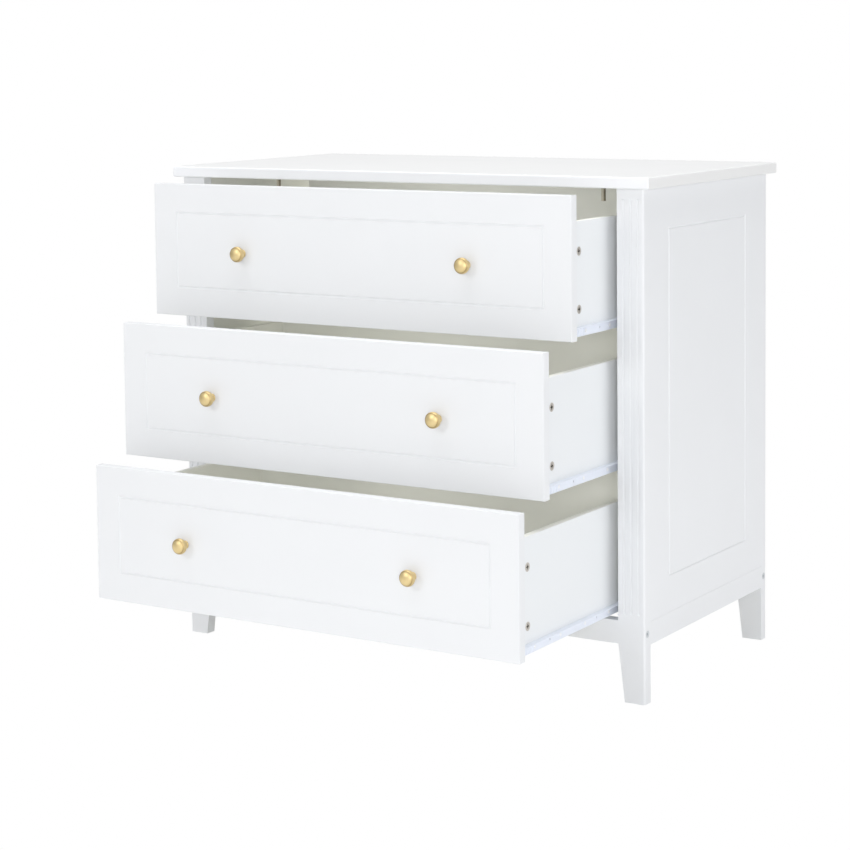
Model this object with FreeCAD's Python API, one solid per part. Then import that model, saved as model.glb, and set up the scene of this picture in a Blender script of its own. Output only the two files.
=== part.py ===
import FreeCAD, Part
import math
import os

from FreeCAD import Vector

# Full-size chest of three drawers on roller runners, in millimetres.
# Modelling frame: X = 0 in the middle, Y = 0 on the front face of the posts with +Y to the rear,
# Z = 0 on the floor.  Each node is moved along Y as it is saved, so that the part's own origin is
# the middle of its footprint with the drawers standing open as modelled.

# Case
case_width = 970.0            # over the outer faces of the posts
case_depth = 505.0            # front face of the front posts to back face of the rear posts
case_height = 875.0           # floor to the underside of the top
top_thickness = 20.0
top_side_overhang = 15.0
top_front_overhang = 12.0
top_back_overhang = 13.0
top_edge_radius = 3.0
post_width = 50.0
post_depth = 22.0
post_corner_radius = 4.0
foot_width = 38.0             # a leg narrows to this at the floor, on its inner edge
leg_height = 100.0            # floor to the underside of the rails
rail_height = 40.0
side_thickness = 18.0
seam_bevel = 0.8              # small bevel where two boards meet flush
back_panel_thickness = 4.0

# Routed decoration
flute_width = 5.5
flute_depth = 2.0
flute_count = 3
flute_first = 11.0            # outer face of the post to the middle of the first flute
flute_pitch = 13.5
flute_bottom_margin = 15.0    # above the rail
flute_top_margin = 20.0       # below the top
line_width = 4.5
line_depth = 1.8
front_line_margin_x = 52.0    # drawer front's end to the routed line
front_line_margin_z = 52.0
side_line_margin_y = 73.5     # side panel's end to the routed line
side_line_margin_bottom = 65.0
side_line_margin_top = 72.0

# Drawers
drawer_names = ["bottom", "middle", "top"]
front_thickness = 18.0
front_side_gap = 4.0
front_end_gap = 3.0           # rail to the bottom front, and top front to the top
front_between_gap = 6.0
front_edge_radius = 1.2
box_board = 12.0              # thickness of the drawer's sides and back
box_edge_radius = 1.0
runner_space = 13.0           # drawer side to runner batten
side_bottom_rise = 4.6        # drawer side's bottom edge above the front's bottom edge
side_top_drop = 45.0          # drawer side's top edge below the front's top edge
back_top_drop = 12.0          # the back is taller than the sides
box_rear_gap = 14.5           # drawer box to the back panel when closed
bottom_thickness = 5.0
bottom_rise = 14.0            # underside of the bottom panel above the front's bottom edge
bottom_groove_depth = 6.0
bottom_edge_gap = 0.5         # bottom panel's edge to the end of its groove

# Drawer positions: distance that each front stands out of the case
top_drawer_opening = 152.5
middle_drawer_opening = 247.5
bottom_drawer_from_stop = 10.0

# Knobs and their screws
knob_offset = 233.0           # knob axis from the middle of the front
knob_rise = 118.0             # knob axis above the front's bottom edge
knob_head_radius = 14.0
knob_base_radius = 7.5
knob_neck_radius = 5.0
knob_projection = 25.0
knob_collar_share = 0.07      # heights along the knob, as shares of its projection
knob_neck_share = 0.13
knob_waist_share = 0.33
knob_rim_back_share = 0.50
knob_rim_middle_share = 0.68
knob_rim_front_share = 0.85
knob_back_radius_share = 0.80     # radii at the rim's back and front, as shares of the head's
knob_front_radius_share = 0.88
knob_cove_share = 0.75        # how full the small cove between collar and neck is
knob_waist_flare = 1.0        # waist beyond the neck, in radius
knob_screw_radius = 2.0
knob_screw_reach = 10.0       # thread inside the knob
knob_screw_head_radius = 4.5
knob_screw_head_height = 2.4

# Cam fittings that pull the front onto the drawer sides
cam_radius = 7.5
cam_floor = 0.5               # cam below its bolt's head
cam_set_back = 32.0           # cam axis behind the front board
cam_first_rise = 48.4
cam_pitch = 96.0
cam_clearance = 0.1
cam_slot_length = 8.0
cam_slot_width = 2.4
cam_slot_depth = 2.0
cam_bolt_radius = 2.0
cam_bolt_thread_radius = 3.0
cam_bolt_thread_length = 11.0
cam_bolt_head_length = 3.0
cam_bolt_clearance = 0.3

# Leg bolts through the posts into the end rails
leg_bolt_head_radius = 6.25
leg_bolt_head_height = 3.0
leg_bolt_sink = 0.6           # head below the post's face
leg_bolt_shank_radius = 3.0
leg_bolt_reach = 42.0         # thread inside the rail
leg_bolt_hex = 5.0            # across the flats of the socket
leg_bolt_hex_depth = 2.2
leg_bolt_clearance = 0.3

# Roller runners
sheet = 1.2                   # pressed steel thickness
roller_radius = 9.0
roller_width = 7.0
roller_ease = 0.5             # bevel on the roller's two rims
roller_bore_clearance = 0.1
roller_rise = 9.8             # roller axles above the front's bottom edge
rolling_gap = 0.15            # roller to the flange that it runs on
flange_gap = 1.05             # drawer member's top flange to the case member's upper flange
axle_radius = 2.0
axle_head_radius = 3.5
axle_head_height = 0.5
axle_end_play = 0.1
case_flange = 10.1            # width of the case member's two flanges
drawer_flange = 9.0           # width of the drawer member's top flange
case_runner_front_gap = 2.0   # behind the front posts
case_runner_rear_gap = 5.0    # before the back panel
front_roller_set_back = 14.0  # axle behind the case member's front end
rear_roller_set_back = 12.5   # axle before the drawer member's rear end
roller_stop_spacing = 74.0    # between the two axles when the drawer is fully open
runner_hole_width = 3.0
runner_hole_height = 5.0
runner_hole_first = 120.5     # front face of the drawer to the first hole
runner_hole_pitch = 161.5
runner_hole_count = 2
pilot_radius = 1.25           # hole bored in the drawer side behind each oval
pilot_depth = 8.0
rib_first = 45.0              # front face of the drawer to the first pressed rib
rib_pitch = 9.5
rib_count = 3
rib_radius = 8.0
rib_width = 1.8
rib_height = 0.8
rib_bow = 2.6                 # depth of one rib's bow

# Runner battens and stop pegs inside the case
batten_proud = 4.0            # beyond the posts' inner faces
batten_below = 10.0           # below the drawer front's bottom edge
batten_above = 40.0
peg_radius = 4.0
peg_drop = 31.0
peg_depth = 10.0              # in the top
peg_offset = 348.0
peg_stop_lead = 11.0          # pegs stop the top drawer this much short of the other drawers' travel
peg_stop_gap = 1.0            # drawer back to peg at the top drawer's full opening

# Sizes that follow from those above
half_width = case_width / 2
half_opening = half_width - post_width
side_inner = half_width - side_thickness
batten_face = half_opening - batten_proud
drawer_half = batten_face - runner_space
drawer_inner = drawer_half - box_board
cam_depth = box_board / 2 + cam_bolt_thread_radius + cam_floor
rear_post_front = case_depth - post_depth
back_panel_front = rear_post_front - back_panel_thickness
rail_top = leg_height + rail_height
drawer_count = len(drawer_names)
front_room = case_height - rail_top - 2 * front_end_gap - (drawer_count - 1) * front_between_gap
front_height = front_room / drawer_count
front_pitch = front_height + front_between_gap
box_length = back_panel_front - box_rear_gap - front_thickness
box_rear = front_thickness + box_length
back_inner = box_rear - box_board
front_axle_y = post_depth + case_runner_front_gap + front_roller_set_back
rear_axle_y = box_rear - rear_roller_set_back
full_travel = rear_axle_y - front_axle_y - roller_stop_spacing
drawer_openings = {
    "bottom": full_travel - bottom_drawer_from_stop,
    "middle": middle_drawer_opening,
    "top": top_drawer_opening,
}
drawer_floors = {}
for index, drawer_name in enumerate(drawer_names):
    drawer_floors[drawer_name] = rail_top + front_end_gap + index * front_pitch
footprint_front = -max(drawer_openings.values()) - knob_projection
footprint_rear = case_depth + top_back_overhang
origin_y = (footprint_front + footprint_rear) / 2

# Heights of the runner parts above a drawer front's bottom edge
lower_flange_top = roller_rise - roller_radius - rolling_gap
drawer_flange_under = roller_rise + roller_radius + rolling_gap
drawer_flange_top = drawer_flange_under + sheet
upper_flange_under = drawer_flange_top + flange_gap
drawer_web_middle = (side_bottom_rise - sheet + drawer_flange_under) / 2

X_AXIS = Vector(1, 0, 0)
Y_AXIS = Vector(0, 1, 0)


def block(x_range, y_range, z_range):
    """A board square to the axes, from its (low, high) pair along each."""
    size = [high - low for low, high in (x_range, y_range, z_range)]
    return Part.makeBox(*size, Vector(x_range[0], y_range[0], z_range[0]))


def rod(radius, start, end):
    """A round bar between two points."""
    return Part.makeCylinder(radius, (end - start).Length, start, end - start)


def plate(points, thickness):
    """A flat outline given by its corners, pushed along the vector `thickness`."""
    return Part.Face(Part.makePolygon(points + points[:1])).extrude(thickness)


def edges_where(shape, test):
    """The edges whose two ends both pass the test."""
    return [edge for edge in shape.Edges if all(test(vertex.Point) for vertex in edge.Vertexes)]


def near(a, b):
    return abs(a - b) < 1e-6


def mirrored(shape):
    """The left-hand twin of a right-hand piece."""
    return shape.mirror(Vector(0, 0, 0), X_AXIS)


def ball_cut(points, width, depth, outward):
    """The cutter for a round-bottomed groove that runs through the points on a face."""
    radius = (width * width / 4 + depth * depth) / (2 * depth)
    centres = [point + outward * (radius - depth) for point in points]
    cutter = Part.makeSphere(radius, centres[0])
    for start, end in zip(centres, centres[1:]):
        cutter = cutter.fuse([rod(radius, start, end), Part.makeSphere(radius, end)])
    return cutter


def save(name, solids, slide=0.0):
    """Write one node; `slide` is how far its drawer stands out of the case."""
    shape = solids[0] if len(solids) == 1 else Part.makeCompound(solids)
    placed = shape.copy()
    placed.translate(Vector(0, -slide - origin_y, 0))
    placed.exportStep("parts/" + name + ".step")


def save_pair(pattern, solids, slide=0.0):
    """Write a right-hand node and its left-hand twin."""
    save(pattern.format("right"), solids, slide)
    save(pattern.format("left"), [mirrored(solid) for solid in solids], slide)


# ---------------------------------------------------------------- case

def make_top_board():
    board = block(
        (-half_width - top_side_overhang, half_width + top_side_overhang),
        (-top_front_overhang, case_depth + top_back_overhang),
        (case_height, case_height + top_thickness),
    )
    board = board.makeFillet(top_edge_radius, board.Edges)
    for side in (-1, 1):
        board = board.cut(rod(peg_radius, peg_point(side, 0), peg_point(side, peg_depth)))
    return board


def peg_point(side, rise):
    """A point on a stop peg's axis, `rise` above the underside of the top."""
    peg_y = back_inner - (full_travel - peg_stop_lead) - peg_stop_gap - peg_radius
    return Vector(side * peg_offset, peg_y, case_height + rise)


def make_stop_pegs():
    return [rod(peg_radius, peg_point(side, -peg_drop), peg_point(side, peg_depth)) for side in (-1, 1)]


def make_post(y_front, y_round):
    """A right-hand post and leg; its outer corner is rounded at y_round."""
    corners = [
        Vector(half_width, y_front, 0),
        Vector(half_width, y_front, case_height),
        Vector(half_opening, y_front, case_height),
        Vector(half_opening, y_front, leg_height),
        Vector(half_width - foot_width, y_front, 0),
    ]
    post = plate(corners, Y_AXIS * post_depth)
    corner = edges_where(post, lambda p: near(p.x, half_width) and near(p.y, y_round))
    post = post.makeFillet(post_corner_radius, corner)
    return post.cut(leg_bolt_hole(y_front + post_depth / 2))


def make_front_post():
    post = make_post(0, 0)
    for number in range(flute_count):
        x = half_width - flute_first - number * flute_pitch
        ends = [
            Vector(x, 0, rail_top + flute_bottom_margin),
            Vector(x, 0, case_height - flute_top_margin),
        ]
        post = post.cut(ball_cut(ends, flute_width, flute_depth, -Y_AXIS))
    return post


def leg_bolt_axis(x, y):
    return Vector(x, y, leg_height + rail_height / 2)


def leg_bolt_seat():
    """X of the shoulder that a leg bolt's head bears on."""
    return half_width - leg_bolt_sink - leg_bolt_head_height


def leg_bolt_hole(y):
    """Counterbore and clearance hole through a right-hand post."""
    seat = leg_bolt_seat()
    counterbore = rod(leg_bolt_head_radius + leg_bolt_clearance,
                      leg_bolt_axis(seat, y), leg_bolt_axis(half_width, y))
    through = rod(leg_bolt_shank_radius + leg_bolt_clearance,
                  leg_bolt_axis(half_opening, y), leg_bolt_axis(seat, y))
    return counterbore.fuse(through)


def make_leg_bolt(y):
    """A right-hand bolt with a hexagonal socket in its head."""
    seat = leg_bolt_seat()
    outer = seat + leg_bolt_head_height
    head = rod(leg_bolt_head_radius, leg_bolt_axis(seat, y), leg_bolt_axis(outer, y))
    thread_end = leg_bolt_axis(half_opening - leg_bolt_reach, y)
    shank = rod(leg_bolt_shank_radius, thread_end, leg_bolt_axis(seat, y))
    corner_radius = leg_bolt_hex / math.sqrt(3)
    corners = []
    for number in range(6):
        angle = math.radians(60 * number)
        offset = Vector(0, corner_radius * math.sin(angle), corner_radius * math.cos(angle))
        corners.append(leg_bolt_axis(outer, y) + offset)
    socket = plate(corners, -X_AXIS * leg_bolt_hex_depth)
    return head.fuse(shank).cut(socket)


def make_end_rail(y_front):
    """The rail between the two front legs, or between the two rear legs."""
    rail = block((-half_opening, half_opening), (y_front, y_front + post_depth), (leg_height, rail_top))
    y = y_front + post_depth / 2
    hole = rod(leg_bolt_shank_radius,
               leg_bolt_axis(half_opening - leg_bolt_reach, y), leg_bolt_axis(half_opening, y))
    return rail.cut([hole, mirrored(hole)])


def make_side_rail():
    rail = block((side_inner, half_width), (post_depth, rear_post_front), (leg_height, rail_top))
    upper = edges_where(rail, lambda p: near(p.x, half_width) and near(p.z, rail_top))
    return rail.makeChamfer(seam_bevel, upper)


def make_side_panel():
    panel = block((side_inner, half_width), (post_depth, rear_post_front), (rail_top, case_height))
    lower = edges_where(panel, lambda p: near(p.x, half_width) and near(p.z, rail_top))
    panel = panel.makeChamfer(seam_bevel, lower)
    y_near = post_depth + side_line_margin_y
    y_far = rear_post_front - side_line_margin_y
    z_low = rail_top + side_line_margin_bottom
    z_high = case_height - side_line_margin_top
    corners = [(y_near, z_low), (y_far, z_low), (y_far, z_high), (y_near, z_high), (y_near, z_low)]
    points = [Vector(half_width, y, z) for y, z in corners]
    return panel.cut(ball_cut(points, line_width, line_depth, X_AXIS))


def make_batten(floor):
    """A right-hand batten that fills out the case's side to carry a runner."""
    return block((batten_face, side_inner), (post_depth, back_panel_front),
                 (floor - batten_below, floor + batten_above))


def save_case():
    save("top_board", [make_top_board()])
    save("stop_pegs", make_stop_pegs())
    save_pair("front_{}_post", [make_front_post()])
    save_pair("rear_{}_post", [make_post(rear_post_front, case_depth)])
    save_pair("{}_side_rail", [make_side_rail()])
    save_pair("{}_side_panel", [make_side_panel()])
    save("front_rail", [make_end_rail(0)])
    save("rear_rail", [make_end_rail(rear_post_front)])
    save("back_panel", [block((-side_inner, side_inner), (back_panel_front, rear_post_front),
                              (leg_height, case_height))])
    bolts = [make_leg_bolt(post_depth / 2), make_leg_bolt(rear_post_front + post_depth / 2)]
    save("leg_bolts", bolts + [mirrored(bolt) for bolt in bolts])
    battens = [make_batten(floor) for floor in drawer_floors.values()]
    save("runner_battens", battens + [mirrored(batten) for batten in battens])


# ---------------------------------------------------------------- roller runners

def make_case_runner(floor):
    """The right-hand channel screwed to the batten, and the axle riveted through its web."""
    y_range = (post_depth + case_runner_front_gap, back_panel_front - case_runner_rear_gap)
    web = block((batten_face - sheet, batten_face), y_range,
                (floor + lower_flange_top - sheet, floor + upper_flange_under + sheet))
    flange_x = (batten_face - case_flange, batten_face - sheet)
    lower = block(flange_x, y_range, (floor + lower_flange_top - sheet, floor + lower_flange_top))
    upper = block(flange_x, y_range, (floor + upper_flange_under, floor + upper_flange_under + sheet))
    hole = rod(axle_radius, Vector(batten_face - sheet, front_axle_y, floor + roller_rise),
               Vector(batten_face, front_axle_y, floor + roller_rise))
    channel = web.fuse([lower, upper]).removeSplitter().cut(hole)
    return [channel, make_axle(batten_face, -1, front_axle_y, floor)]


def roller_faces():
    """X of the rollers' inner and outer faces, half way between the two webs."""
    middle = (drawer_half + sheet + batten_face - sheet) / 2
    return middle - roller_width / 2, middle + roller_width / 2


def make_axle(web_back, way, y, floor):
    """A riveted axle from a web's back face through the roller; way is +1 or -1 along X."""
    inner, outer = roller_faces()
    near_face, far_face = (inner, outer) if way > 0 else (outer, inner)
    z = floor + roller_rise
    head_start = far_face + way * axle_end_play
    stem = rod(axle_radius, Vector(web_back, y, z), Vector(head_start, y, z))
    head = rod(axle_head_radius, Vector(head_start, y, z), Vector(head_start + way * axle_head_height, y, z))
    collar = rod(axle_head_radius, Vector(web_back + way * sheet, y, z),
                 Vector(near_face - way * axle_end_play, y, z))
    return stem.fuse([head, collar])


def make_roller(y, floor):
    """A nylon wheel with eased edges, free on its axle."""
    inner, outer = roller_faces()
    z = floor + roller_rise
    wheel = rod(roller_radius, Vector(inner, y, z), Vector(outer, y, z))
    rims = [edge for edge in wheel.Edges if edge.BoundBox.XLength < roller_width / 2]
    wheel = wheel.makeChamfer(roller_ease, rims)
    bore = rod(axle_radius + roller_bore_clearance, Vector(inner, y, z), Vector(outer, y, z))
    return wheel.cut(bore)


def make_drawer_runner(floor):
    """The right-hand pressed member under and beside a drawer side, and the axle riveted to it."""
    y_range = (front_thickness, box_rear)
    web_outer = drawer_half + sheet
    foot_z = floor + side_bottom_rise - sheet
    web = block((drawer_half, web_outer), y_range, (foot_z, floor + drawer_flange_top))
    foot = block((drawer_inner, drawer_half), y_range, (foot_z, floor + side_bottom_rise))
    flange = block((web_outer, web_outer + drawer_flange), y_range,
                   (floor + drawer_flange_under, floor + drawer_flange_top))
    member = web.fuse([foot, flange]).removeSplitter()
    web_middle = floor + drawer_web_middle
    for y in runner_hole_places():
        member = member.cut(oval_cutter(y, web_middle))
    for number in range(rib_count):
        y = rib_first + number * rib_pitch
        member = member.fuse(make_rib(y, web_middle))
    axle_z = floor + roller_rise
    axle_start = Vector(drawer_half, rear_axle_y, axle_z)
    axle_hole = rod(axle_radius, axle_start, Vector(web_outer, rear_axle_y, axle_z))
    return [member.cut(axle_hole), make_axle(drawer_half, 1, rear_axle_y, floor)]


def runner_hole_places():
    return [runner_hole_first + number * runner_hole_pitch for number in range(runner_hole_count)]


def oval_cutter(y, z):
    """An upright oval through the drawer member's web."""
    radius = runner_hole_width / 2
    straight = runner_hole_height / 2 - radius
    ends = []
    for rise in (-straight, straight):
        ends.append(rod(radius, Vector(drawer_half, y, z + rise), Vector(drawer_half + sheet, y, z + rise)))
    middle = block((drawer_half, drawer_half + sheet), (y - radius, y + radius), (z - straight, z + straight))
    return middle.fuse(ends)


def make_rib(y, z):
    """A bowed rib pressed outwards in the drawer member's web, its crown at y."""
    centre = Vector(drawer_half + sheet, y - rib_radius, z)
    outer = rod(rib_radius + rib_width / 2, centre, centre + X_AXIS * rib_height)
    inner = rod(rib_radius - rib_width / 2, centre, centre + X_AXIS * rib_height)
    crown = block((centre.x, centre.x + rib_height), (y - rib_bow, y + rib_width),
                  (z - rib_radius, z + rib_radius))
    return outer.cut(inner).common(crown)


def save_runners(name):
    floor = drawer_floors[name]
    opening = drawer_openings[name]
    save_pair(name + "_{}_case_runner", make_case_runner(floor))
    save_pair(name + "_{}_front_roller", [make_roller(front_axle_y, floor)])
    save_pair(name + "_drawer_{}_runner", make_drawer_runner(floor), opening)
    save_pair(name + "_{}_rear_roller", [make_roller(rear_axle_y, floor)], opening)


# ---------------------------------------------------------------- drawers

def bottom_groove(x_range, y_range, floor):
    """The groove that the bottom panel sits in."""
    low = floor + bottom_rise
    return block(x_range, y_range, (low, low + bottom_thickness))


def make_front(floor):
    half = half_opening - front_side_gap
    top = floor + front_height
    front = block((-half, half), (0, front_thickness), (floor, top))
    front = front.makeFillet(front_edge_radius, edges_where(front, lambda p: near(p.y, 0)))
    x = half - front_line_margin_x
    z_low = floor + front_line_margin_z
    z_high = top - front_line_margin_z
    corners = [(-x, z_low), (x, z_low), (x, z_high), (-x, z_high), (-x, z_low)]
    points = [Vector(across, 0, up) for across, up in corners]
    front = front.cut(ball_cut(points, line_width, line_depth, -Y_AXIS))
    groove_y = (front_thickness - bottom_groove_depth, front_thickness)
    groove_half = drawer_inner + bottom_groove_depth
    cutters = [bottom_groove((-groove_half, groove_half), groove_y, floor)]
    for side in (-1, 1):
        screw_mouth = knob_point(side, 0, floor)
        cutters.append(rod(knob_screw_radius, screw_mouth, knob_point(side, front_thickness, floor)))
        for z in cam_heights(floor):
            x = side * (drawer_half - box_board / 2)
            mouth = Vector(x, front_thickness, z)
            cutters.append(rod(cam_bolt_thread_radius, mouth, mouth - Y_AXIS * cam_bolt_thread_length))
    return front.cut(cutters)


def cam_heights(floor):
    return [floor + cam_first_rise, floor + cam_first_rise + cam_pitch]


def make_side(floor):
    """A right-hand drawer side, bored for the cams and runner screws and grooved for the bottom."""
    side = block((drawer_inner, drawer_half), (front_thickness, box_rear),
                 (floor + side_bottom_rise, floor + front_height - side_top_drop))
    top = edges_where(side, lambda p: near(p.z, floor + front_height - side_top_drop))
    side = side.makeFillet(box_edge_radius, [edge for edge in top if near(edge.Length, box_length)])
    cutters = [bottom_groove((drawer_inner, drawer_inner + bottom_groove_depth),
                             (front_thickness, box_rear), floor)]
    cam_y = front_thickness + cam_set_back
    for z in cam_heights(floor):
        bottom = Vector(drawer_half - cam_depth, cam_y, z)
        cutters.append(rod(cam_radius + cam_clearance, bottom, Vector(drawer_half, cam_y, z)))
        middle_x = drawer_half - box_board / 2
        cutters.append(rod(cam_bolt_thread_radius + cam_bolt_clearance,
                           Vector(middle_x, front_thickness, z), Vector(middle_x, cam_y, z)))
    for y in runner_hole_places():
        mouth = Vector(drawer_half, y, floor + drawer_web_middle)
        cutters.append(rod(pilot_radius, mouth - X_AXIS * pilot_depth, mouth))
    return side.cut(cutters)


def make_back(floor):
    back = block((-drawer_inner, drawer_inner), (back_inner, box_rear),
                 (floor + side_bottom_rise, floor + front_height - back_top_drop))
    top = edges_where(back, lambda p: near(p.z, floor + front_height - back_top_drop))
    back = back.makeFillet(box_edge_radius, [edge for edge in top if near(edge.Length, 2 * drawer_inner)])
    return back.cut(bottom_groove((-drawer_inner, drawer_inner),
                                  (back_inner, back_inner + bottom_groove_depth), floor))


def make_bottom(floor):
    reach = bottom_groove_depth - bottom_edge_gap
    return bottom_groove((-drawer_inner - reach, drawer_inner + reach),
                         (front_thickness - reach, back_inner + reach), floor)


def knob_point(side, y, floor):
    return Vector(side * knob_offset, y, floor + knob_rise)


def make_knob(side, floor):
    """A turned mushroom knob: collar, waisted neck, rounded rim and a low dome, bored for its screw."""
    collar_top = knob_collar_share * knob_projection
    neck_start = knob_neck_share * knob_projection
    waist = knob_waist_share * knob_projection
    rim_back = knob_rim_back_share * knob_projection
    rim_middle = knob_rim_middle_share * knob_projection
    rim_front = knob_rim_front_share * knob_projection
    rim_back_radius = knob_back_radius_share * knob_head_radius
    rim_front_radius = knob_front_radius_share * knob_head_radius
    cove_radius = knob_neck_radius + knob_cove_share * (knob_base_radius - knob_neck_radius)
    cove_middle = collar_top + knob_cove_share * (neck_start - collar_top)
    dome_height = knob_projection - rim_front
    dome_radius = (rim_front_radius ** 2 + dome_height ** 2) / (2 * dome_height)
    half_angle = math.asin(rim_front_radius / dome_radius) / 2
    dome_middle = knob_projection - dome_radius * (1 - math.cos(half_angle))

    def at(radius, out):
        return Vector(radius, -out, 0)

    outline = [
        Part.LineSegment(at(knob_screw_radius, 0), at(knob_base_radius, 0)),
        Part.LineSegment(at(knob_base_radius, 0), at(knob_base_radius, collar_top)),
        Part.Arc(at(knob_base_radius, collar_top), at(cove_radius, cove_middle),
                 at(knob_neck_radius, neck_start)),
        Part.Arc(at(knob_neck_radius, neck_start), at(knob_neck_radius + knob_waist_flare, waist),
                 at(rim_back_radius, rim_back)),
        Part.Arc(at(rim_back_radius, rim_back), at(knob_head_radius, rim_middle),
                 at(rim_front_radius, rim_front)),
        Part.Arc(at(rim_front_radius, rim_front),
                 at(dome_radius * math.sin(half_angle), dome_middle),
                 at(0, knob_projection)),
        Part.LineSegment(at(0, knob_projection), at(0, knob_screw_reach)),
        Part.LineSegment(at(0, knob_screw_reach), at(knob_screw_radius, knob_screw_reach)),
        Part.LineSegment(at(knob_screw_radius, knob_screw_reach), at(knob_screw_radius, 0)),
    ]
    wire = Part.Wire([curve.toShape() for curve in outline])
    knob = Part.Face(wire).revolve(Vector(0, 0, 0), Y_AXIS, 360)
    knob.translate(knob_point(side, 0, floor))
    return knob


def make_knob_screw(side, floor):
    back = front_thickness
    shank = rod(knob_screw_radius, knob_point(side, -knob_screw_reach, floor), knob_point(side, back, floor))
    head = rod(knob_screw_head_radius, knob_point(side, back, floor),
               knob_point(side, back + knob_screw_head_height, floor))
    head_edges = [edge for edge in head.Edges if near(edge.BoundBox.YMin, back + knob_screw_head_height)]
    head = head.makeFillet(knob_screw_head_height / 2, head_edges)
    return head.fuse(shank)


def make_cam(z):
    """A right-hand cam with a cross slot, and a bore for the bolt's head."""
    cam_y = front_thickness + cam_set_back
    outer = Vector(drawer_half, cam_y, z)
    cam = rod(cam_radius, Vector(drawer_half - cam_depth, cam_y, z), outer)
    slot_x = (drawer_half - cam_slot_depth, drawer_half)
    long_half = cam_slot_length / 2
    thin_half = cam_slot_width / 2
    upright = block(slot_x, (cam_y - thin_half, cam_y + thin_half), (z - long_half, z + long_half))
    level = block(slot_x, (cam_y - long_half, cam_y + long_half), (z - thin_half, z + thin_half))
    middle_x = drawer_half - box_board / 2
    bore = rod(cam_bolt_thread_radius + cam_bolt_clearance,
               Vector(middle_x, cam_y - cam_radius, z), Vector(middle_x, cam_y + cam_bolt_head_length / 2, z))
    return cam.cut([upright, level, bore])


def make_cam_bolt(z):
    """A right-hand bolt: thread in the front, thin shank, and a head inside the cam."""
    middle_x = drawer_half - box_board / 2
    cam_y = front_thickness + cam_set_back
    head_start = cam_y - cam_bolt_head_length / 2

    def at(y):
        return Vector(middle_x, y, z)

    thread = rod(cam_bolt_thread_radius, at(front_thickness - cam_bolt_thread_length), at(front_thickness))
    shank = rod(cam_bolt_radius, at(front_thickness), at(head_start))
    head = rod(cam_bolt_thread_radius, at(head_start), at(head_start + cam_bolt_head_length))
    return thread.fuse([shank, head])


def save_drawer(name):
    floor = drawer_floors[name]
    opening = drawer_openings[name]
    prefix = name + "_drawer_"
    save(prefix + "front", [make_front(floor)], opening)
    save_pair(prefix + "{}_side", [make_side(floor)], opening)
    save(prefix + "back", [make_back(floor)], opening)
    save(prefix + "bottom", [make_bottom(floor)], opening)
    save(prefix + "knobs", [make_knob(side, floor) for side in (-1, 1)], opening)
    fittings = []
    for z in cam_heights(floor):
        fittings += [make_cam(z), make_cam_bolt(z)]
    fittings += [mirrored(fitting) for fitting in fittings]
    fittings += [make_knob_screw(side, floor) for side in (-1, 1)]
    save(prefix + "fittings", fittings, opening)


os.makedirs("parts", exist_ok=True)
save_case()
for drawer_name in drawer_names:
    save_runners(drawer_name)
    save_drawer(drawer_name)
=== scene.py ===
import math

import bmesh
import bpy
from mathutils import Matrix, Vector


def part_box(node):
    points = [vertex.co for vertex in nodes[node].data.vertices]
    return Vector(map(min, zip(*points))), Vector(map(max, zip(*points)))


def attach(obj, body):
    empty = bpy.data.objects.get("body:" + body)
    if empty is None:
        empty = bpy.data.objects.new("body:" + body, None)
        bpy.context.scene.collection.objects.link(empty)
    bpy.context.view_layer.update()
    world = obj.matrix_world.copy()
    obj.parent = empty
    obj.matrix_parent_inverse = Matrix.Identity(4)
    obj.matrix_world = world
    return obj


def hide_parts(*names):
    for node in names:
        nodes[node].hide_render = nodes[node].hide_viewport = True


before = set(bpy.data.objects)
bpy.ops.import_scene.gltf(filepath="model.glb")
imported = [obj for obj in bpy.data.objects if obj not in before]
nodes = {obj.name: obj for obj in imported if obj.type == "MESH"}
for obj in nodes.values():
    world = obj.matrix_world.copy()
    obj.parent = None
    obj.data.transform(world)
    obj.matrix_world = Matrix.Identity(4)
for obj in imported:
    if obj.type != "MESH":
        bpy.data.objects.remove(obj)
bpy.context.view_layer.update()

drawers = ["bottom", "middle", "top"]
sides = {"left": -1, "right": 1}

# ---------------------------------------------------------------- studio
# A still-life set for furniture: a long lens at chest height, turned to show the front and the
# right-hand side, with its lens board dropped so that uprights stay upright.

camera_place = Vector((2.150, -3.3977, 1.1113))
camera_turn = math.radians(32.28)      # anticlockwise from looking straight at the front
camera_tip = math.radians(4.51)        # below the level
camera_roll = math.radians(-0.60)
film_width = 36.0                      # millimetres
lens_length = 94.41                    # millimetres
lens_board_drop = -0.236               # share of the film's width

ahead = Vector((-math.sin(camera_turn) * math.cos(camera_tip),
                math.cos(camera_turn) * math.cos(camera_tip),
                -math.sin(camera_tip)))
level_right = Vector((math.cos(camera_turn), math.sin(camera_turn), 0.0))
upright = level_right.cross(ahead)
camera_right = level_right * math.cos(camera_roll) + upright * math.sin(camera_roll)
camera_up = camera_right.cross(ahead)

lens = bpy.data.cameras.new("studio_camera")
lens.sensor_width = film_width
lens.lens = lens_length
lens.shift_y = lens_board_drop
camera = bpy.data.objects.new("studio_camera", lens)
bpy.context.scene.collection.objects.link(camera)
camera.matrix_world = Matrix.Translation(camera_place) @ Matrix(
    (camera_right, camera_up, -ahead)).transposed().to_4x4()
bpy.context.scene.camera = camera
bpy.context.scene.view_settings.view_transform = "Standard"
bpy.context.scene.view_settings.gamma = 1.3       # lifted shadows, as furniture catalogues print


def linear(hex_colour):
    """Linear RGBA from an sRGB hex colour."""
    shares = [int(hex_colour[i:i + 2], 16) / 255 for i in (1, 3, 5)]
    return [s / 12.92 if s <= 0.04045 else ((s + 0.055) / 1.055) ** 2.4 for s in shares] + [1.0]


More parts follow.
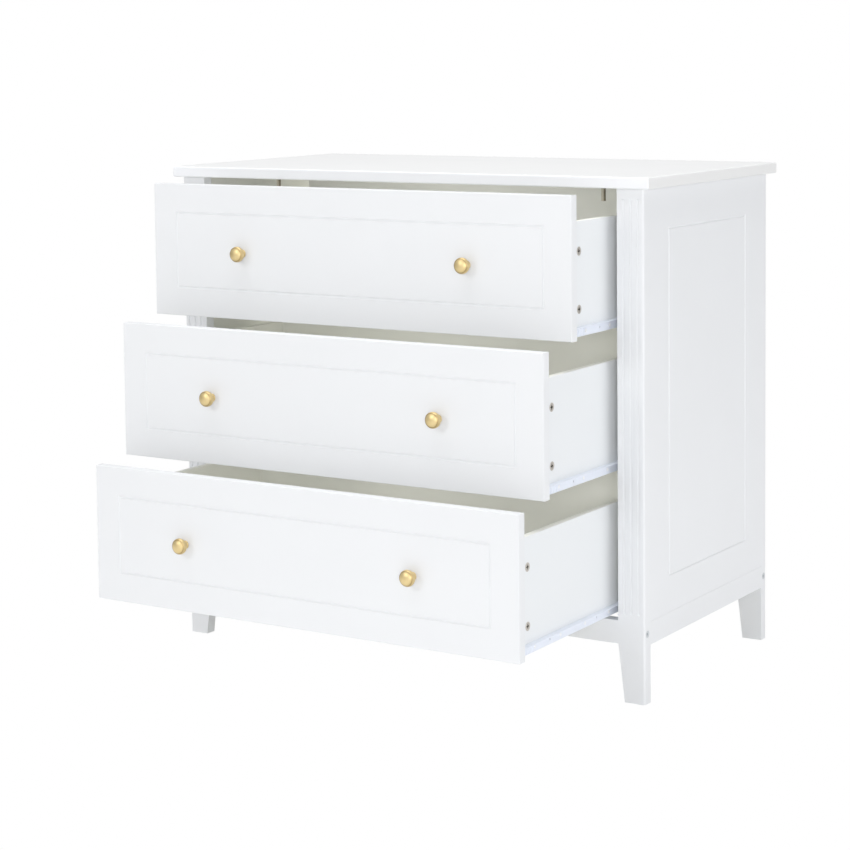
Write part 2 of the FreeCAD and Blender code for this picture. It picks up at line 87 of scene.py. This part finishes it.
def add(tree, kind, inputs=None, **settings):
    """One node with its settings; each input takes a value, or another node's output to link."""
    node = tree.nodes.new(kind)
    for name, value in settings.items():
        setattr(node, name, value)
    for socket, value in (inputs or {}).items():
        if isinstance(value, bpy.types.NodeSocket):
            tree.links.new(value, node.inputs[socket])
        else:
            node.inputs[socket].default_value = value
    return node


# The room: white where the lens looks, evenly pale as light, and darker low down in reflections, as
# a studio's floor and far walls are.
room = bpy.data.worlds.new("white_studio")
bpy.context.scene.world = room
room.use_nodes = True
tree = room.node_tree
tree.nodes.clear()
direction = add(tree, "ShaderNodeTexCoord")
bearing = add(tree, "ShaderNodeSeparateXYZ", {0: direction.outputs["Generated"]})
lit_wall = add(tree, "ShaderNodeMapRange", {"Value": bearing.outputs["Y"], "From Min": 0.6,
                                            "From Max": -0.8, "To Min": 0.265, "To Max": 0.275})
dark_below = add(tree, "ShaderNodeMapRange", {"Value": bearing.outputs["Z"], "From Min": -0.05,
                                              "From Max": 0.40, "To Min": 0.16, "To Max": 0.62})
path = add(tree, "ShaderNodeLightPath")
strength = add(tree, "ShaderNodeMix", {0: path.outputs["Is Glossy Ray"], 2: lit_wall.outputs[0],
                                       3: dark_below.outputs[0]}, data_type="FLOAT")
glow = add(tree, "ShaderNodeBackground", {"Color": linear("#FCFDFF"), "Strength": strength.outputs[0]})
backdrop = add(tree, "ShaderNodeBackground", {"Color": (1, 1, 1, 1), "Strength": 1.0})
seen = add(tree, "ShaderNodeMixShader", {0: path.outputs["Is Camera Ray"],
                                         1: glow.outputs[0], 2: backdrop.outputs[0]})
add(tree, "ShaderNodeOutputWorld", {"Surface": seen.outputs[0]})


def softbox(name, place, aim, width, tall, watts, colour):
    """A flat rectangular studio light, returned as its object."""
    lamp = bpy.data.lights.new(name, "AREA")
    lamp.shape = "RECTANGLE"
    lamp.size = width
    lamp.size_y = tall
    lamp.energy = watts
    lamp.color = linear(colour)[:3]
    lamp_object = bpy.data.objects.new(name, lamp)
    bpy.context.scene.collection.objects.link(lamp_object)
    lamp_object.location = place
    lamp_object.rotation_euler = (Vector(aim) - Vector(place)).to_track_quat("-Z", "Y").to_euler()
    return lamp_object


chest_middle = (0.0, 0.0, 0.45)
softbox("key_softbox", (-1.2, -4.5, 2.5), chest_middle, 1.8, 1.4, 52, "#FFFEFB")
softbox("camera_softbox", (3.4, -5.4, 1.55), chest_middle, 2.3, 1.8, 142, "#FFFFFF")
softbox("side_softbox", (5.0, 0.5, 1.8), chest_middle, 3.0, 2.0, 68, "#FFFFFF")
softbox("overhead_bank", (0.0, -0.3, 4.2), chest_middle, 3.0, 3.0, 128, "#FFFFFF")

# A weak panel behind the drawers and a frosted bulb in each one keep the insides from going dark.
inside_fill = softbox("inside_fill", (0.0, 0.26, 0.55), (0.0, 1.0, 0.55), 0.80, 0.60, 1.0, "#FFFFFF")
inside_fill.visible_camera = False
bulb_watts = 0.19
bulb_radius = 0.05
bulb_from_middle = -0.05       # a little to the left
bulb_below_rim = 0.04          # below the top edge of the drawer's side
for drawer in drawers:
    low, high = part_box(drawer + "_drawer_bottom")
    lamp = bpy.data.lights.new(drawer + "_drawer_bulb", "POINT")
    lamp.energy = bulb_watts
    lamp.shadow_soft_size = bulb_radius
    bulb = bpy.data.objects.new(drawer + "_drawer_bulb", lamp)
    bpy.context.scene.collection.objects.link(bulb)
    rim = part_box(drawer + "_drawer_left_side")[1].z
    bulb.location = (bulb_from_middle, (low.y + high.y) / 2, rim - bulb_below_rim)
    bulb.visible_camera = False

# The floor is a plain white sweep. The lens sees it blown out to white, so no shadow shows on it;
# to every other ray it is matt white paper that bounces light up under the chest.
floor_mesh = bpy.data.meshes.new("white_sweep")
reach = 12.0
floor_mesh.from_pydata([(-reach, -reach, 0), (reach, -reach, 0), (reach, reach, 0), (-reach, reach, 0)],
                       [], [(0, 1, 2, 3)])
white_sweep = bpy.data.objects.new("white_sweep", floor_mesh)
bpy.context.scene.collection.objects.link(white_sweep)
paper = bpy.data.materials.new("white_paper_sweep")
paper.use_nodes = True
tree = paper.node_tree
tree.nodes.clear()
matt = add(tree, "ShaderNodeBsdfDiffuse", {"Color": linear("#F4F4F4")})
blown = add(tree, "ShaderNodeEmission", {"Color": (1, 1, 1, 1), "Strength": 1.0})
path = add(tree, "ShaderNodeLightPath")
sweep = add(tree, "ShaderNodeMixShader", {0: path.outputs["Is Camera Ray"],
                                          1: matt.outputs[0], 2: blown.outputs[0]})
add(tree, "ShaderNodeOutputMaterial", {"Surface": sweep.outputs[0]})
floor_mesh.materials.append(paper)


# ---------------------------------------------------------------- lacquered boards of the case
# Top, posts, rails and panels are fibreboard sprayed with white satin lacquer and rubbed down, so
# they are even in colour, with a faint orange peel about 2 mm across and softly broken reflections.
# The faces inside the case are coloured a lighter, greenish white than the lacquer outside: painted light
# against the shade in there, with the shade's green cast.

skin_depth = 0.0005            # how far a facing reaches in from its face
cloud_size = 0.14              # broad unevenness of the spray
peel_size = 0.0022
sanding_size = 0.045
# painted shade: the dark strip behind the runners' oval holes
hole_painted_shade = "#565B63"          # what shows through the runners' oval holes
hole_reach = 0.0026            # above and below the middle of a hole
hole_depth_shown = 0.009


def new_material(name):
    """An empty node material and its tree."""
    material = bpy.data.materials.new(name)
    material.use_nodes = True
    material.node_tree.nodes.clear()
    return material, material.node_tree


def lacquer(name, outside, shaded, inner_painted_light=None, inner_within=0.0, axis="X", front_edge_painted_light=None,
            holes_at=None):
    """Sprayed satin lacquer. `inner_painted_light` is painted light on the face nearer than inner_within
    along axis,
    `front_edge_painted_light` is painted light on the faces that look forwards, and `holes_at` is the
    height of painted shade behind holes."""
    material, tree = new_material(name)
    place = add(tree, "ShaderNodeTexCoord").outputs["Object"]
    clouds = add(tree, "ShaderNodeTexNoise", {"Vector": place, "Scale": 1 / cloud_size, "Detail": 2.0})
    colour = add(tree, "ShaderNodeMix", {0: clouds.outputs["Fac"], 6: linear(outside),
                                         7: linear(shaded)}, data_type="RGBA").outputs[2]
    # painted light: the inner faces get a lighter, greenish colour than the outside
    if inner_painted_light:
        split = add(tree, "ShaderNodeSeparateXYZ", {0: place})
        distance = add(tree, "ShaderNodeMath", {0: split.outputs[axis]}, operation="ABSOLUTE")
        inside = add(tree, "ShaderNodeMath", {0: distance.outputs[0], 1: inner_within},
                     operation="LESS_THAN")
        colour = add(tree, "ShaderNodeMix", {0: inside.outputs[0], 6: colour, 7: linear(inner_painted_light)},
                     data_type="RGBA").outputs[2]
    # painted shade on the strip behind the runners' oval holes
    if holes_at:
        level = add(tree, "ShaderNodeMath", {0: split.outputs["Z"], 1: holes_at, 2: hole_reach},
                    operation="COMPARE")
        outer = add(tree, "ShaderNodeMath", {0: distance.outputs[0], 1: inner_within - hole_depth_shown},
                    operation="GREATER_THAN")
        hole_painted_shade_mask = add(tree, "ShaderNodeMath", {0: level.outputs[0], 1: outer.outputs[0]},
                    operation="MULTIPLY")
        colour = add(tree, "ShaderNodeMix", {0: hole_painted_shade_mask.outputs[0], 6: colour, 7: linear(hole_painted_shade)},
                     data_type="RGBA").outputs[2]
    # painted light on the faces that look forwards
    if front_edge_painted_light:
        geometry = add(tree, "ShaderNodeNewGeometry")
        normal = add(tree, "ShaderNodeSeparateXYZ", {0: geometry.outputs["Normal"]})
        forwards = add(tree, "ShaderNodeMapRange", {"Value": normal.outputs["Y"], "From Min": -0.3,
                                                    "From Max": -0.9})
        colour = add(tree, "ShaderNodeMix", {0: forwards.outputs[0], 6: colour, 7: linear(front_edge_painted_light)},
                     data_type="RGBA").outputs[2]
    peel = add(tree, "ShaderNodeTexNoise", {"Vector": place, "Scale": 1 / peel_size, "Detail": 1.0})
    sanding = add(tree, "ShaderNodeTexNoise", {"Vector": place, "Scale": 1 / sanding_size, "Detail": 3.0})
    gloss = add(tree, "ShaderNodeMapRange", {"Value": sanding.outputs["Fac"], "To Min": 0.36,
                                             "To Max": 0.46})
    bump = add(tree, "ShaderNodeBump", {"Height": peel.outputs["Fac"], "Strength": 0.25,
                                        "Distance": 0.00004})
    surface = add(tree, "ShaderNodeBsdfPrincipled",
                  {"Base Color": colour, "Roughness": gloss.outputs[0], "Normal": bump.outputs[0],
                   "IOR": 1.48})
    add(tree, "ShaderNodeOutputMaterial", {"Surface": surface.outputs[0]})
    return material


def wear(node_name, material):
    """Give a CAD piece its finish in every one of its slots."""
    mesh = nodes[node_name].data
    for index in range(len(mesh.materials)):
        mesh.materials[index] = material


board_white = "#E0E2E5"
board_shade = "#DDDFE2"
# faces inside the case: painted light against the shade there, with its green cast
painted_light_inside = "#F8F8EE"
panel_inner_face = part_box("right_side_panel")[0].x

case_lacquer = lacquer("satin_lacquer_white", board_white, board_shade)
panel_lacquer = lacquer("satin_lacquer_painted_light_inside", board_white, board_shade,
                        painted_light_inside, panel_inner_face + skin_depth)
for name in ("front_left_post", "front_right_post", "rear_left_post", "rear_right_post",
             "left_side_rail", "right_side_rail", "front_rail", "rear_rail"):
    wear(name, case_lacquer)
for name in ("left_side_panel", "right_side_panel"):
    wear(name, panel_lacquer)
# The top's front edge is coloured lighter as painted light, because the open drawers keep the floor's light
# off it.
top_lacquer = lacquer("satin_lacquer_top", "#E2E2E2", "#DFE0E0", front_edge_painted_light="#EBEDF1")
wear("top_board", top_lacquer)

# the battens inside the case are coloured with the same painted light
batten_painted_light = lacquer("batten_painted_light", painted_light_inside, "#F5F5EB")
wear("runner_battens", batten_painted_light)

back_inner_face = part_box("back_panel")[0].y
# the back's inner face is coloured with the inside's painted light
back_board = lacquer("faced_hardboard", "#E6E7E4", "#E1E2DE",
                     painted_light_inside, back_inner_face + skin_depth, "Y")
wear("back_panel", back_board)


# ---------------------------------------------------------------- stop pegs
# Two turned beech dowels tapped into the top, bare wood: straight fine grain along their length. The
# side turned to the right is coloured darker, in place of the shade that the lights don't give it.

grain_size = 0.0012
beech, tree = new_material("bare_beech_dowel")
place = add(tree, "ShaderNodeTexCoord").outputs["Object"]
stretched = add(tree, "ShaderNodeMapping", {"Vector": place, "Scale": (1.0, 1.0, 0.06)})
grain = add(tree, "ShaderNodeTexNoise", {"Vector": stretched.outputs[0], "Scale": 1 / grain_size,
                                         "Detail": 4.0})
bare = add(tree, "ShaderNodeMix", {0: grain.outputs["Fac"], 6: linear("#CDC5B2"), 7: linear("#AFA590")},
           data_type="RGBA")
geometry = add(tree, "ShaderNodeNewGeometry")
round_dowel = add(tree, "ShaderNodeSeparateXYZ", {0: geometry.outputs["Normal"]})
shaded_side = add(tree, "ShaderNodeMapRange", {"Value": round_dowel.outputs["X"], "From Min": 0.35,
                                             "From Max": 0.65})
tone = add(tree, "ShaderNodeMix", {0: shaded_side.outputs[0], 6: bare.outputs[2], 7: linear("#6E644F")},
           data_type="RGBA")
fibre = add(tree, "ShaderNodeBump", {"Height": grain.outputs["Fac"], "Strength": 0.4, "Distance": 0.0001})
wood = add(tree, "ShaderNodeBsdfPrincipled", {"Base Color": tone.outputs[2], "Roughness": 0.62,
                                              "Normal": fibre.outputs[0]})
add(tree, "ShaderNodeOutputMaterial", {"Surface": wood.outputs[0]})
wear("stop_pegs", beech)


# ---------------------------------------------------------------- leg bolts
# Socket-headed steel bolts through the posts, sprayed with the legs, so the head is a little greyer
# than the lacquer round it and its socket is dark.

patch_size = 0.02              # broad unevenness of the coat
fold_shade = "#8E96A8"
fold_shade_tall = 0.0030


def coated_metal(name, colour, worn, roughness, pebble_size, fold=None):
    """Paint or epoxy baked on steel: even colour and a fine pebbled skin, with painted shade just under a
    fold.
    """
    material, tree = new_material(name)
    place = add(tree, "ShaderNodeTexCoord").outputs["Object"]
    spots = add(tree, "ShaderNodeTexNoise", {"Vector": place, "Scale": 1 / patch_size, "Detail": 3.0})
    coat = add(tree, "ShaderNodeMix", {0: spots.outputs["Fac"], 6: linear(colour), 7: linear(worn)},
               data_type="RGBA").outputs[2]
    # painted shade just under the fold
    if fold:
        height = add(tree, "ShaderNodeSeparateXYZ", {0: place}).outputs["Z"]
        nearing = add(tree, "ShaderNodeMapRange", {"Value": height, "From Min": fold - fold_shade_tall,
                                                   "From Max": fold})
        below = add(tree, "ShaderNodeMath", {0: height, 1: fold}, operation="LESS_THAN")
        painted_fold_shade = add(tree, "ShaderNodeMath", {0: nearing.outputs[0], 1: below.outputs[0]},
                   operation="MULTIPLY")
        coat = add(tree, "ShaderNodeMix", {0: painted_fold_shade.outputs[0], 6: coat, 7: linear(fold_shade)},
                   data_type="RGBA").outputs[2]
    pebbles = add(tree, "ShaderNodeTexNoise", {"Vector": place, "Scale": 1 / pebble_size})
    skin = add(tree, "ShaderNodeBump", {"Height": pebbles.outputs["Fac"], "Strength": 0.2,
                                        "Distance": 0.00003})
    surface = add(tree, "ShaderNodeBsdfPrincipled",
                  {"Base Color": coat, "Roughness": roughness, "Normal": skin.outputs[0]})
    add(tree, "ShaderNodeOutputMaterial", {"Surface": surface.outputs[0]})
    return material


wear("leg_bolts", coated_metal("sprayed_bolt_steel", "#C6CACE", "#ABB0B6", 0.4, 0.0008))


# ---------------------------------------------------------------- roller runners
# Pressed steel channels with a baked white epoxy coat, slightly blue, that catches the light along
# its flanges, and is coloured greyer just under the drawer member's flange, as its shade. Moulded
# nylon rollers turn on plain riveted axles.

sheet = 0.0012                 # the runners' steel
epoxy = ("#DDE3F0", "#D8DFEC", 0.3, 0.0006)       # its colours, roughness and pebble size
runner_epoxy = coated_metal("white_epoxy_on_steel", *epoxy)
flow_size = 0.004
roller_nylon, tree = new_material("moulded_nylon")
place = add(tree, "ShaderNodeTexCoord").outputs["Object"]
flow = add(tree, "ShaderNodeTexNoise", {"Vector": place, "Scale": 1 / flow_size, "Detail": 2.0})
milk = add(tree, "ShaderNodeMix", {0: flow.outputs["Fac"], 6: linear("#E4E4DF"), 7: linear("#DADAD4")},
           data_type="RGBA")
nylon = add(tree, "ShaderNodeBsdfPrincipled", {"Base Color": milk.outputs[2], "Roughness": 0.42,
                                               "Subsurface Weight": 0.15, "Subsurface Scale": 0.002})
add(tree, "ShaderNodeOutputMaterial", {"Surface": nylon.outputs[0]})

for name in nodes:
    if name.endswith("_case_runner"):
        wear(name, runner_epoxy)
    elif name.endswith("_roller"):
        wear(name, roller_nylon)
for drawer in drawers:
    under_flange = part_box(drawer + "_drawer_right_runner")[1].z - sheet
    member_epoxy = coated_metal(drawer + "_member_white_epoxy", *epoxy, under_flange)
    for side in sides:
        wear(f"{drawer}_drawer_{side}_runner", member_epoxy)


# ---------------------------------------------------------------- drawer boxes
# Sides and back are 12 mm board faced with a cool white foil outside; their inner faces and the thin
# bottom, let into grooves, are coloured a lighter, greenish white as painted light against the shade in the
# drawer.
# The strip of each side that lies behind its runner's holes is painted dark, as painted shade seen through
# the holes.

drawer_side_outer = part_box("top_drawer_right_side")[1].x
# the drawers' inner faces, backs and bottoms: painted light, lighter than the foil outside
painted_light_box_inside = "#F8F8EF"
for drawer in drawers:
    low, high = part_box(drawer + "_drawer_right_runner")
    side_board = lacquer(drawer + "_drawer_side_foil", "#E1E4E7", "#DEE2E5", painted_light_box_inside,
                         drawer_side_outer - skin_depth, holes_at=(low.z + high.z - sheet) / 2)
    for side in sides:
        wear(f"{drawer}_drawer_{side}_side", side_board)
    wear(drawer + "_drawer_back", lacquer(drawer + "_drawer_back_foil", painted_light_box_inside, "#F5F5EC"))
    wear(drawer + "_drawer_bottom", lacquer(drawer + "_drawer_bottom_board", painted_light_box_inside, "#F4F4EB"))


# ---------------------------------------------------------------- drawer fronts
# 18 mm lacquered board with a routed line; the same spray as the case.

front_lacquer = lacquer("satin_lacquer_front", board_white, board_shade)
for drawer in drawers:
    wear(drawer + "_drawer_front", front_lacquer)


# ---------------------------------------------------------------- cams and screws in the drawers
# Zinc die-cast cams, turned home with a cross-head driver: a warm grey ring, with painted shade in the
# driver's cross.

cast_size = 0.0009
cross_depth = 0.0006           # deeper than this, the driver's cross is dark
zinc, tree = new_material("zinc_die_casting")
place = add(tree, "ShaderNodeTexCoord").outputs["Object"]
cast = add(tree, "ShaderNodeTexNoise", {"Vector": place, "Scale": 1 / cast_size, "Detail": 3.0})
patina = add(tree, "ShaderNodeMix", {0: cast.outputs["Fac"], 6: linear("#CFC8BF"), 7: linear("#A9A299")},
             data_type="RGBA")
# painted shade: deeper than cross_depth, the driver's cross is coloured dark
split = add(tree, "ShaderNodeSeparateXYZ", {0: place})
distance = add(tree, "ShaderNodeMath", {0: split.outputs["X"]}, operation="ABSOLUTE")
sunk = add(tree, "ShaderNodeMath", {0: distance.outputs[0], 1: drawer_side_outer - cross_depth},
           operation="LESS_THAN")
shadowed = add(tree, "ShaderNodeMix", {0: sunk.outputs[0], 6: patina.outputs[2], 7: linear("#2C231D")},
               data_type="RGBA")
rough = add(tree, "ShaderNodeBump", {"Height": cast.outputs["Fac"], "Strength": 0.5, "Distance": 0.00008})
metal = add(tree, "ShaderNodeBsdfPrincipled", {"Base Color": shadowed.outputs[2], "Metallic": 1.0,
                                               "Roughness": 0.45, "Normal": rough.outputs[0]})
add(tree, "ShaderNodeOutputMaterial", {"Surface": metal.outputs[0]})
for drawer in drawers:
    wear(drawer + "_drawer_fittings", zinc)


# ---------------------------------------------------------------- knobs
# Turned mushroom knobs in satin gold plate: a collar on the front, a waisted neck, a rounded rim
# with a fine step, and a low domed face that still shows the lathe's rings. Painted shade and
# reflection make the plate darker round the rim and in the waist.

collar = 0.535                 # radii below are shares of the head's radius
waist = 0.357
neck_top = 0.80
rim_out, rim_tall = 0.17, 0.19
step_radius = 0.845
face_radius = 0.833
neck_foot = 0.130              # distances out below are shares of the knob's whole reach
neck_length = 0.370
rim_middle = 0.66
face_foot = 0.862


def knob_profile(head, reach):
    """(radius, distance out, share of painted shade) of the turned outline, from collar's foot to crown."""
    profile = [(0.0, 0.0, 0.4), (0.500 * head, 0.0, 0.4), (collar * head, 0.010 * reach, 0.2),
               (collar * head, 0.060 * reach, 0.1), (0.500 * head, 0.090 * reach, 0.3),
               (0.420 * head, 0.112 * reach, 0.6), (waist * head, neck_foot * reach, 0.7)]
    for step in range(1, 13):
        share = step / 12
        neck = waist + (neck_top - waist) * share ** 2.6
        profile.append((neck * head, (neck_foot + neck_length * share) * reach, 0.7 - 0.6 * share))
    for step in range(1, 15):
        angle = math.radians(-70 + 150 * step / 14)
        radius = (1 - rim_out) + rim_out * math.cos(angle)
        # painted shade grows over the rim
        painted_shade_share = 0.15 + 0.6 * max(0.0, math.sin(angle)) ** 3
        profile.append((radius * head, (rim_middle + rim_tall * math.sin(angle)) * reach, painted_shade_share))
    profile.append((step_radius * head, 0.852 * reach, 1.0))
    profile.append(((step_radius - 0.012) * head, 0.858 * reach, 0.8))
    for step in range(1, 17):
        share = 1 - step / 16
        out = face_foot + (1 - face_foot) * (1 - share ** 2)
        profile.append((face_radius * share * head, out * reach, 0.5 * share ** 8))
    return profile


def turn_knob(mesh, centre, profile, around=64):
    """Spin the profile about the knob's axis, with UV (angle, distance along the profile) and rim shade."""
    uv = mesh.loops.layers.uv.verify()
    rim = mesh.verts.layers.float.get("rim") or mesh.verts.layers.float.new("rim")
    rings = []
    for radius, out, painted_shade_share in profile:
        ring = []
        for step in range(around if radius > 0 else 1):
            angle = 2 * math.pi * step / around
            vertex = mesh.verts.new(centre + Vector((radius * math.cos(angle), -out,
                                                     radius * math.sin(angle))))
            vertex[rim] = painted_shade_share
            ring.append(vertex)
        rings.append(ring)
    travelled = 0.0
    for index in range(len(rings) - 1):
        low, high = rings[index], rings[index + 1]
        run = math.dist(profile[index][:2], profile[index + 1][:2])
        for step in range(around):
            after = (step + 1) % around
            corners = [(low[step % len(low)], step, 0.0), (low[after % len(low)], step + 1, 0.0),
                       (high[after % len(high)], step + 1, run), (high[step % len(high)], step, run)]
            unique = [c for i, c in enumerate(corners) if c[0] not in [d[0] for d in corners[:i]]]
            face = mesh.faces.new([c[0] for c in unique])
            face.smooth = True
            for loop, (_, turn, extra) in zip(face.loops, unique):
                loop[uv].uv = (turn / around, (travelled + extra) / 0.05)
        travelled += run


tarnish_size = 0.006
gold, tree = new_material("satin_gold_plate")
unwrapped = add(tree, "ShaderNodeTexCoord").outputs["UV"]
rings_only = add(tree, "ShaderNodeMapping", {"Vector": unwrapped, "Scale": (3.0, 220.0, 1.0)})
lathe = add(tree, "ShaderNodeTexNoise", {"Vector": rings_only.outputs[0], "Scale": 1.0, "Detail": 2.0})
tarnish = add(tree, "ShaderNodeTexNoise", {"Vector": add(tree, "ShaderNodeTexCoord").outputs["Object"],
                                           "Scale": 1 / tarnish_size, "Detail": 2.0})
plate = add(tree, "ShaderNodeMix", {0: tarnish.outputs["Fac"], 6: linear("#E6CD92"), 7: linear("#D8BB7A")},
            data_type="RGBA")
satin = add(tree, "ShaderNodeMapRange", {"Value": lathe.outputs["Fac"], "To Min": 0.38, "To Max": 0.50})
turning = add(tree, "ShaderNodeBump", {"Height": lathe.outputs["Fac"], "Strength": 0.25,
                                       "Distance": 0.00004})
# painted shade round the rim and in the waist
rim = add(tree, "ShaderNodeAttribute", attribute_name="rim")
edged = add(tree, "ShaderNodeMix", {0: rim.outputs["Fac"], 6: plate.outputs[2], 7: linear("#86693A")},
            data_type="RGBA")
metal = add(tree, "ShaderNodeBsdfPrincipled",
            {"Base Color": edged.outputs[2], "Metallic": 1.0, "Roughness": satin.outputs[0],
             "Normal": turning.outputs[0]})
add(tree, "ShaderNodeOutputMaterial", {"Surface": metal.outputs[0]})

for drawer in drawers:
    low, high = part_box(drawer + "_drawer_knobs")
    head = (high.z - low.z) / 2
    reach_out = high.y - low.y
    mesh = bmesh.new()
    for side in sides.values():
        centre = Vector((side * (high.x - head), high.y, (low.z + high.z) / 2))
        turn_knob(mesh, centre, knob_profile(head, reach_out))
    bmesh.ops.recalc_face_normals(mesh, faces=mesh.faces)
    data = bpy.data.meshes.new(drawer + "_turned_knobs")
    mesh.to_mesh(data)
    mesh.free()
    data.materials.append(gold)
    knobs = bpy.data.objects.new(drawer + "_turned_knobs", data)
    bpy.context.scene.collection.objects.link(knobs)
    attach(knobs, drawer + "_drawer")
    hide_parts(drawer + "_drawer_knobs")


# ---------------------------------------------------------------- runner screws
# Low pan-head screws, zinc plated, hold each runner member to its drawer side and each channel to its
# batten. Every screw stopped at its own angle, so the crosses are turned at random.

def screw_head():
    """A pan head of radius 1 and height 1 on its back, with a four-pointed driver recess."""
    around = 16
    mesh = bmesh.new()
    foot = [(1.0, 0.0), (1.0, 0.45), (0.86, 0.82), (0.58, 1.0)]
    rings = []
    for radius, rise in foot + [(0.50, None), (0.20, None)]:
        ring = []
        for step in range(around):
            angle = 2 * math.pi * step / around
            arm = step % 4 == 0
            height = rise
            if rise is None:
                height = 0.45 if arm or radius < 0.3 else 1.0
            ring.append(mesh.verts.new((radius * math.cos(angle), radius * math.sin(angle), height)))
        rings.append(ring)
    for low, high in zip(rings, rings[1:]):
        for step in range(around):
            after = (step + 1) % around
            mesh.faces.new((low[step], low[after], high[after], high[step]))
    mesh.faces.new(rings[-1])
    mesh.faces.new(list(reversed(rings[0])))
    data = bpy.data.meshes.new("screw_head")
    mesh.to_mesh(data)
    mesh.free()
    return bpy.data.objects.new("screw_head", data)


frost_size = 0.0008
plated, tree = new_material("zinc_plated_screw")
place = add(tree, "ShaderNodeTexCoord").outputs["Object"]
frost = add(tree, "ShaderNodeTexNoise", {"Vector": place, "Scale": 1 / frost_size, "Detail": 2.0})
bright = add(tree, "ShaderNodeMix", {0: frost.outputs["Fac"], 6: linear("#F4F5F7"), 7: linear("#E2E4E8")},
             data_type="RGBA")
grit = add(tree, "ShaderNodeBump", {"Height": frost.outputs["Fac"], "Strength": 0.3, "Distance": 0.00003})
metal = add(tree, "ShaderNodeBsdfPrincipled", {"Base Color": bright.outputs[2], "Metallic": 0.5,
                                               "Roughness": 0.4, "Normal": grit.outputs[0]})
add(tree, "ShaderNodeOutputMaterial", {"Surface": metal.outputs[0]})

# Each starting point becomes a row of screws towards the rear, facing away from or to the middle.
rows = bpy.data.node_groups.new("screw_rows", "GeometryNodeTree")
for name, kind in (("Starts", "NodeSocketGeometry"), ("Screws in a row", "NodeSocketInt"),
                   ("Pitch", "NodeSocketFloat"), ("Head radius", "NodeSocketFloat"),
                   ("Head height", "NodeSocketFloat"), ("Faces outwards", "NodeSocketFloat")):
    rows.interface.new_socket(name=name, in_out="INPUT", socket_type=kind)
rows.interface.new_socket(name="Screws", in_out="OUTPUT", socket_type="NodeSocketGeometry")
given = add(rows, "NodeGroupInput")
copies = add(rows, "GeometryNodeDuplicateElements", {"Geometry": given.outputs["Starts"],
                                                     "Amount": given.outputs["Screws in a row"]},
             domain="POINT")
along = add(rows, "ShaderNodeMath", {0: copies.outputs["Duplicate Index"], 1: given.outputs["Pitch"]},
            operation="MULTIPLY")
step_back = add(rows, "ShaderNodeCombineXYZ", {1: along.outputs[0]})
spread = add(rows, "GeometryNodeSetPosition", {"Geometry": copies.outputs["Geometry"],
                                               "Offset": step_back.outputs[0]})
where = add(rows, "ShaderNodeSeparateXYZ", {0: add(rows, "GeometryNodeInputPosition").outputs[0]})
hand = add(rows, "ShaderNodeMath", {0: where.outputs["X"]}, operation="SIGN")
way = add(rows, "ShaderNodeMath", {0: hand.outputs[0], 1: given.outputs["Faces outwards"]},
          operation="MULTIPLY")
tip = add(rows, "ShaderNodeMath", {0: way.outputs[0], 1: math.pi / 2}, operation="MULTIPLY")
facing = add(rows, "ShaderNodeCombineXYZ", {1: tip.outputs[0]})
size = add(rows, "ShaderNodeCombineXYZ", {0: given.outputs["Head radius"], 1: given.outputs["Head radius"],
                                          2: given.outputs["Head height"]})
head_object = screw_head()
head_source = add(rows, "GeometryNodeObjectInfo", {"Object": head_object})
placed = add(rows, "GeometryNodeInstanceOnPoints", {"Points": spread.outputs[0],
                                                    "Instance": head_source.outputs["Geometry"],
                                                    "Rotation": facing.outputs[0],
                                                    "Scale": size.outputs[0]})
stopped = add(rows, "FunctionNodeRandomValue", {2: 0.0, 3: math.pi / 2, "Seed": 7}, data_type="FLOAT")
last_turn = add(rows, "ShaderNodeCombineXYZ", {2: stopped.outputs[1]})
turned = add(rows, "GeometryNodeRotateInstances", {"Instances": placed.outputs[0],
                                                   "Rotation": last_turn.outputs[0], "Local Space": True})
real = add(rows, "GeometryNodeRealizeInstances", {0: turned.outputs[0]})
finished = add(rows, "GeometryNodeSetMaterial", {"Geometry": real.outputs[0], "Material": plated})
add(rows, "NodeGroupOutput", {0: finished.outputs[0]})

head_radius = 0.0031
head_height = 0.0012           # low enough for the rollers to pass


def add_screws(name, body, starts, inputs):
    """Rows of screws from the starting points, as one plain mesh that rides on the body."""
    host_mesh = bpy.data.meshes.new(name + "_starts")
    host_mesh.from_pydata(starts, [], [])
    host = bpy.data.objects.new(name + "_starts", host_mesh)
    bpy.context.scene.collection.objects.link(host)
    modifier = host.modifiers.new("screw_rows", "NODES")
    modifier.node_group = rows
    for item in rows.interface.items_tree:
        if item.name in inputs:
            modifier[item.identifier] = inputs[item.name]
    host.update_tag()
    graph = bpy.context.evaluated_depsgraph_get()
    data = bpy.data.meshes.new_from_object(host.evaluated_get(graph), depsgraph=graph)
    data.name = name
    bpy.data.objects.remove(host)
    piece = bpy.data.objects.new(name, data)
    bpy.context.scene.collection.objects.link(piece)
    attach(piece, body)


member_first = 0.070           # front face of the drawer to its first screw
member_pitch = 0.085
member_screws = 5
channel_first = 0.052          # channel's front end to its first screw
channel_pitch = 0.16
channel_screws = 3
channel_starts = []
for drawer in drawers:
    member_starts = []
    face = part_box(drawer + "_drawer_front")[0].y
    for side, sign in sides.items():
        low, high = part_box(f"{drawer}_drawer_{side}_runner")
        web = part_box(f"{drawer}_drawer_right_side")[1].x + sheet
        member_starts.append((sign * web, face + member_first, (low.z + high.z - sheet) / 2))
        low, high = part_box(f"{drawer}_{side}_case_runner")
        channel_web = max(abs(low.x), abs(high.x)) - sheet
        channel_starts.append((sign * channel_web, low.y + channel_first, (low.z + high.z) / 2))
    add_screws(drawer + "_runner_screws", drawer + "_drawer", member_starts,
               {"Screws in a row": member_screws, "Pitch": member_pitch, "Head radius": head_radius,
                "Head height": head_height, "Faces outwards": 1.0})
add_screws("channel_screws", "case", channel_starts,
           {"Screws in a row": channel_screws, "Pitch": channel_pitch, "Head radius": head_radius,
            "Head height": head_height, "Faces outwards": -1.0})
